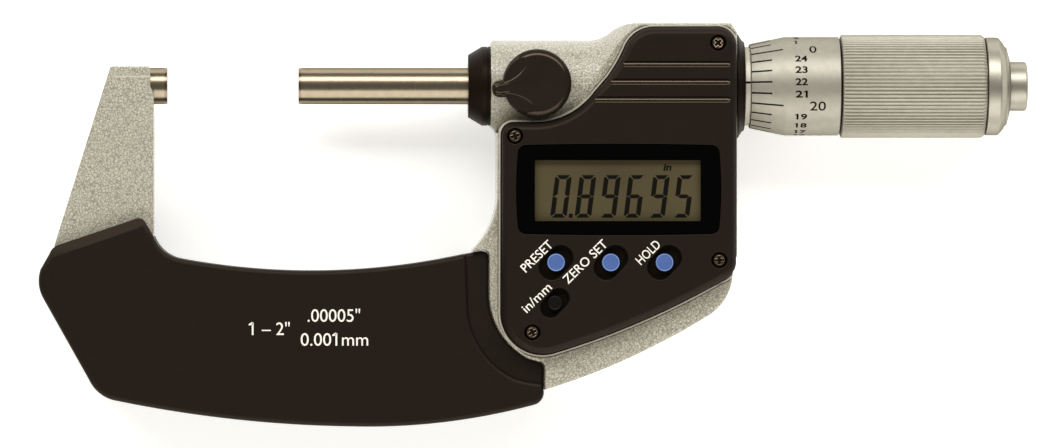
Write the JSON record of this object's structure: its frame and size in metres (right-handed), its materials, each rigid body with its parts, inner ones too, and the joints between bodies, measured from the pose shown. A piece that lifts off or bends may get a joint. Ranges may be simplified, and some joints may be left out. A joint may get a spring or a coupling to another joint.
{
  "type": "outside micrometer",
  "caption": "Digital outside micrometer with a C-shaped frame, moving spindle, graduated thimble, ratchet sleeve, spindle lock lever and push buttons.",
  "frame": {"origin": "centre of the anvil's measuring face, on the spindle axis", "axes": "+X along the spindle from the anvil to the thimble, +Y from the bow towards the spindle line, +Z out of the display"},
  "size_m": [0.1721, 0.07, 0.0206],
  "materials": {
    "hammertone_paint": "hammered grey enamel over cast iron",
    "hardened_steel": "ground and lapped",
    "carbide": "lapped carbide",
    "black_cover": "fine satin texture",
    "black_steel": "black oxide",
    "satin_chrome": "satin",
    "spindle_chrome": "ground",
    "lever_black": "satin",
    "brass": "turned",
    "bronze": "turned",
    "rubber": "matt",
    "screw_steel": "dark zinc",
    "window_black": "glossy with a clear centre",
    "lcd_glass": "grey-green display",
    "board_green": "solder mask",
    "switch_metal": "stamped",
    "blue_button": "satin blue",
    "black_button": "satin",
    "battery_steel": "nickel",
    "copper_ribbon": "amber film"
  },
  "bodies": {
    "frame_body": {"frame": "hammertone_paint", "anvil": "hardened_steel", "anvil_tip": "carbide", "bow_cover_front": "black_cover", "bow_cover_rear": "black_cover", "bow_cover_screws": "screw_steel", "spindle_seal_cap": "black_steel", "wiper_seal": "rubber", "spindle_bush": "bronze", "lock_pad": "brass", "inner_sleeve": "satin_chrome", "rear_collar": "black_steel", "spindle_nut": "bronze", "adjusting_nut": "hardened_steel", "encoder_stator": "board_green", "encoder_ribbon": "copper_ribbon", "display_cover": "black_cover", "housing_gasket": "rubber", "cover_screws": "screw_steel", "display_window": "window_black", "lcd_panel": "lcd_glass", "contact_strip": "rubber", "circuit_board": "board_green", "tact_switches": "switch_metal", "button_seal": "rubber", "battery": "battery_steel", "battery_contacts": "switch_metal", "battery_o_ring": "rubber"},
    "encoder_rotor_body": {"encoder_rotor": "board_green"},
    "spindle_body": {"spindle": "spindle_chrome", "spindle_tip": "carbide", "thimble": "satin_chrome", "thimble_screw": "screw_steel", "ratchet_ring": "hardened_steel"},
    "ratchet_body": {"ratchet_sleeve": "satin_chrome", "end_cap": "satin_chrome", "speeder_knob": "satin_chrome", "ratchet_washer": "hardened_steel", "ratchet_spring": "hardened_steel"},
    "lock_lever_body": {"lock_lever": "lever_black", "lock_screw": "hardened_steel"},
    "origin_button_body": {"origin_button": "blue_button"},
    "zero_button_body": {"zero_button": "blue_button"},
    "hold_button_body": {"hold_button": "blue_button"},
    "unit_button_body": {"unit_button": "black_button"},
    "battery_lid_body": {"battery_lid": "black_steel"}
  },
  "joints": [
    {"name": "thimble_turn", "type": "hinge", "parent": "frame_body", "child": "encoder_rotor_body", "pos_m": [0.0855, 0, 0], "axis": [1, 0, 0], "range_deg": [-216, 15876]},
    {"name": "spindle_feed", "type": "slide", "parent": "encoder_rotor_body", "child": "spindle_body", "axis": [1, 0, 0], "range_m": [-0.00038, 0.028]},
    {"name": "ratchet_slip", "type": "hinge", "parent": "spindle_body", "child": "ratchet_body", "pos_m": [0.13, 0, 0], "axis": [1, 0, 0], "continuous": true},
    {"name": "lock_lever_turn", "type": "hinge", "parent": "frame_body", "child": "lock_lever_body", "pos_m": [0.06415, 0.0003, 0.0077], "axis": [0, 0, -1], "range_deg": [0, 60]},
    {"name": "battery_lid_turn", "type": "hinge", "parent": "frame_body", "child": "battery_lid_body", "pos_m": [0.0775, -0.0295, -0.0095], "axis": [0, 0, -1], "range_deg": [0, 90]},
    {"name": "origin_press", "type": "slide", "parent": "frame_body", "child": "origin_button_body", "axis": [0, 0, -1], "range_m": [0, 0.0005], "stiffness_N_per_m": 1500},
    {"name": "zero_press", "type": "slide", "parent": "frame_body", "child": "zero_button_body", "axis": [0, 0, -1], "range_m": [0, 0.0005], "stiffness_N_per_m": 1500},
    {"name": "hold_press", "type": "slide", "parent": "frame_body", "child": "hold_button_body", "axis": [0, 0, -1], "range_m": [0, 0.0005], "stiffness_N_per_m": 1500},
    {"name": "unit_press", "type": "slide", "parent": "frame_body", "child": "unit_button_body", "axis": [0, 0, -1], "range_m": [0, 0.0005], "stiffness_N_per_m": 1500}
  ],
  "couplings": [
    {"joint": "thimble_turn", "follows": "spindle_feed", "rad_per_m": 9894.8}
  ]
}
